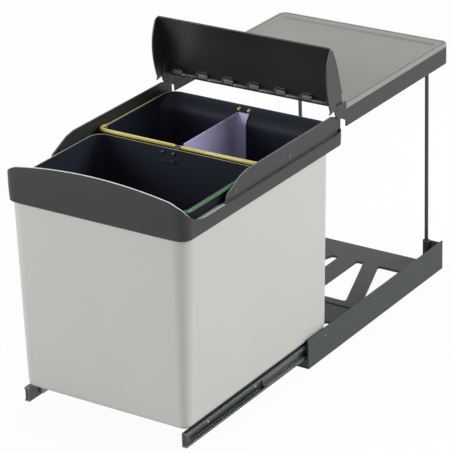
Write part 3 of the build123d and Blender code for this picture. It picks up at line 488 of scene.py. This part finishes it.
def collar_rings():
    """The collar's section round its outline, from the outer foot over the wall's rounded
    top, down to the ledge and back under it to the inner foot."""
    top = collar_top(collar_outline(0))
    rings = [at_height(collar_outline(1.2), collar_foot),
             at_height(collar_outline(0.8), collar_foot + 0.4),
             at_height(collar_outline(0), under_ledge), at_height(collar_outline(0), top - bead)]
    for turn in np.linspace(20, 160, 6):
        inset = bead * (1 - np.cos(radians(turn)))
        rings.append(at_height(collar_outline(inset), top - bead + bead * np.sin(radians(turn))))
    rings.append(at_height(collar_outline(2 * bead), np.maximum(top - bead, ledge_z)))
    rings += [at_height(collar_outline(2 * bead + 0.3), ledge_z),
              at_height(ledge_outline(-0.9), ledge_z), at_height(ledge_outline(-0.3), ledge_z - 0.3),
              at_height(ledge_outline(0), ledge_z - 0.9), at_height(ledge_outline(0), under_ledge),
              at_height(collar_outline(2.5), under_ledge), at_height(collar_outline(3.2), collar_foot)]
    return rings


# The bead's top on the front arch takes the pale finish: a painted highlight.
arch_part = collar_outline(0)[:, 1] < collar_front + 12
collar = moulding("collar_shell", "bin", collar_plastic, "dark_plastic", collar_rings(),
                  accent=collar_painted_highlight, bands=(4, 5, 6, 7, 8), where=arch_part)
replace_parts(collar, "collar")
# The container's pale rim shows between the collar's front wall and the side plates.
rim_part = collar_outline(0)[:, 1] < -452
rim_section = ((2.8, 380.9), (2.8, 381.6), (7.3, 381.6), (7.3, 380.9))
moulding("container_rim", "bin", bin_grey, "bin_grey",
         np.stack([at_height(collar_outline(inset), z)[rim_part] for inset, z in rim_section], 1),
         closed=False, capped=(0, -1))

# ---------- buckets ----------
# Two near-black buckets, thin-walled and tapering, with a rolled rim. The rear one
# leans back over the collar's deck at its mouth.
bucket_black = moulded("bucket_black", (0.012, 0.0145, 0.023), (0.0145, 0.0175, 0.027), 0.5,
                       (0.05, 0.055, 0.06), rim=0.0007, gloss=0.12)
# A pale finish for a painted highlight on the crest of each bucket's rolled bead.
bucket_painted_highlight = moulded("bucket_painted_highlight", (0.3, 0.32, 0.3), (0.36, 0.38, 0.36), 0.35, (0.4, 0.4, 0.4))


def bucket(name, node, levels):
    """A thin-walled bucket. Each level gives half width, front, rear, corner radius and
    height of the outer skin; the same levels drawn in by the wall make the inside, and a
    rolled bead joins the two at the top."""
    wall, roll, roll_inset, above_foot = 1.8, 1.3, 0.9, 60.0

    def skin(level, inset, lift=0.0):
        half, front, rear, corner, z = level
        return at_height(oblong(half - inset, front + inset, rear - inset, corner - inset,
                                corner - inset, arc=9, run=6), z + lift)
    rings = [skin(level, 0) for level in levels[:-1]]
    for turn in np.linspace(-50, 180, 10):
        out, rise = roll * np.cos(radians(turn)), roll * (np.sin(radians(turn)) - 1)
        rings.append(skin(levels[-1], roll_inset - out, rise))
    rings += [skin(level, wall, wall if level[4] < above_foot else 0.0) for level in levels[-2::-1]]
    # The rings at the bead's crest take the pale finish: a painted highlight.
    crest = len(levels) + 4
    piece = moulding(name, "bin", bucket_black, "bucket_black", rings, closed=False, capped=(0, -1),
                     sharp=50, accent=bucket_painted_highlight, bands=(crest - 1, crest, crest + 1))
    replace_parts(piece, node)


def foot(half, front, rear, corner, z, radius=9.0):
    """The rounded foot: rings along a quarter circle from the flat bottom to the wall."""
    turn = np.radians([0, 30, 60, 90])
    inset = radius * (1 - np.sin(turn))
    rise = radius * (1 - np.cos(turn))
    return [(half - d, front + d, rear - d, corner - d + 1, z + r) for d, r in zip(inset, rise)]


bucket("front_bucket_shell", "front_bucket",
       foot(146.5, -549, -353.5, 16, 44.9) + [(153.5, -556, -346.5, 22, 397)])
bucket("rear_bucket_shell", "rear_bucket",
       foot(146.5, -330.5, -180, 16, 44.9) + [
           (153.0, -337.5, -163.0, 22, 370.0), (153.1, -337.5, -161.8, 22, 378.5),
           (153.2, -337.5, -157.5, 22, 385.0), (153.3, -337.5, -149.5, 22, 391.5),
           (153.5, -337.5, -137.5, 22, 399.5)])

# ---------- bag rings, clips and divider ----------
# Bent round bars, one green and two yellow, clamp a bag over each bucket's rim. Their
# ends turn in through the bucket's wall. A translucent violet divider drops into the
# rear bucket and makes two of it.
ring_green = moulded("ring_green", (0.012, 0.085, 0.026), (0.017, 0.11, 0.035), 0.24,
                     (0.03, 0.2, 0.06), gloss=0.45)
ring_yellow = moulded("ring_yellow", (0.56, 0.47, 0.09), (0.64, 0.54, 0.12), 0.3,
                      (0.7, 0.6, 0.2), coat=0.3)
dress(black_plastic, "front_ring_clip", "green_ring_clip")


def bent_bar(corners, bends):
    """A path through corners, each rounded by the arc of the circle of the given radius
    that touches both runs. Its points are worked out by turning evenly from one touching
    point to the other."""
    corners = [np.array(c, float) for c in corners]
    path = [corners[0]]
    for before, here, after, radius in zip(corners, corners[1:], corners[2:], bends):
        a, b = before - here, after - here
        a, b = a / np.linalg.norm(a), b / np.linalg.norm(b)
        half = np.arccos(np.clip(a @ b, -1, 1)) / 2
        centre = here + (a + b) / np.linalg.norm(a + b) * radius / np.sin(half)
        start, end = here + a * radius / np.tan(half), here + b * radius / np.tan(half)
        sweep = np.pi - 2 * half
        share = np.linspace(0, 1, 9)[:, None]
        u, v = start - centre, end - centre
        arc = (np.sin((1 - share) * sweep) * u + np.sin(share * sweep) * v) / np.sin(sweep)
        path += list(centre + arc)
    return np.array(path + [corners[-1]])


def round_bar(name, finish, slot, path, radius=3.3):
    """A tube of circles square to the path, with domed ends: the last circles shrink with
    the sine of an angle while they move out with its cosine."""
    along = np.gradient(path, axis=0)
    along /= np.linalg.norm(along, axis=1)[:, None]
    up = np.array([0.0, 0.0, 1.0])
    across = np.cross(along, up)
    across /= np.linalg.norm(across, axis=1)[:, None]
    rise = np.cross(across, along)
    turn = np.linspace(0, 2 * np.pi, 20, endpoint=False)

    def circle(k, shift, r):
        spokes = np.cos(turn)[:, None] * across[k] + np.sin(turn)[:, None] * rise[k]
        return path[k] + along[k] * shift + r * spokes

    caps = [(radius * (1 - np.cos(t)), radius * np.sin(t)) for t in np.radians([12, 35, 60])]
    rings = [circle(0, shift, r) for shift, r in caps]
    rings += [circle(k, 0, radius) for k in range(1, len(path) - 1)]
    rings += [circle(-1, -shift, r) for shift, r in caps[::-1]]
    return moulding(name, "bin", finish, slot, rings, closed=False, capped=(0, -1), sharp=60)


ring_x, ring_y, ring_top, ring_low = 157.1, -559.6, 400.0, 389.6
green_path = bent_bar([(-24.3, -352.5, ring_low), (-24.3, -342, ring_low), (-ring_x, -342, ring_low),
                       (-ring_x, ring_y, ring_low), (ring_x, ring_y, ring_top),
                       (ring_x, -372, ring_top), (ring_x, -342, ring_low), (-3.7, -342, ring_low),
                       (-3.7, -352.5, ring_low)], [6, 20, 20, 20, 20, 20, 6])
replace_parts(round_bar("green_ring", ring_green, "bag_ring_green", green_path, 3.1), "green_bag_ring")
for side, tip_x in ((-1, -14.0), (1, 5.0)):
    yellow_path = bent_bar([(side * 5.6, -342, ring_top), (side * ring_x, -342, ring_top),
                            (side * ring_x, -308, 394.4), (side * ring_x, -167.5, 394.4),
                            (side * ring_x, -133.9, 393.5), (tip_x, -133.9, 393.5),
                            (tip_x, -149.2, 393.5)], [20, 30, 30, 18, 6])
    word = "left" if side < 0 else "right"
    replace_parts(round_bar(f"yellow_ring_{word}", ring_yellow, "bag_ring_yellow", yellow_path),
                f"yellow_bag_ring_{word}")

violet = moulded("divider_violet", (0.41, 0.40, 0.62), (0.47, 0.455, 0.70), 0.4,
                 (0.7, 0.68, 0.85))
web = [(-312, 58), (-312, 392), (-153, 392), (-161.5, 384), (-165, 376), (-176, 74), (-190, 48),
       (-300, 48)]
divider = moulding("divider_web", "bin", violet, "divider_violet", barred(web, -11, -9, 0.3),
                   closed=False, capped=(0, -1))
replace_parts(divider, "divider")
flange = [(-155.5, 392), (-152.5, 392), (-161, 384), (-164.6, 376), (-176, 74), (-178, 74),
          (-166.6, 376), (-163, 384)]
moulding("divider_flange", "bin", violet, "divider_violet", barred(flange, -11, 11, 0.3),
         closed=False, capped=(0, -1))
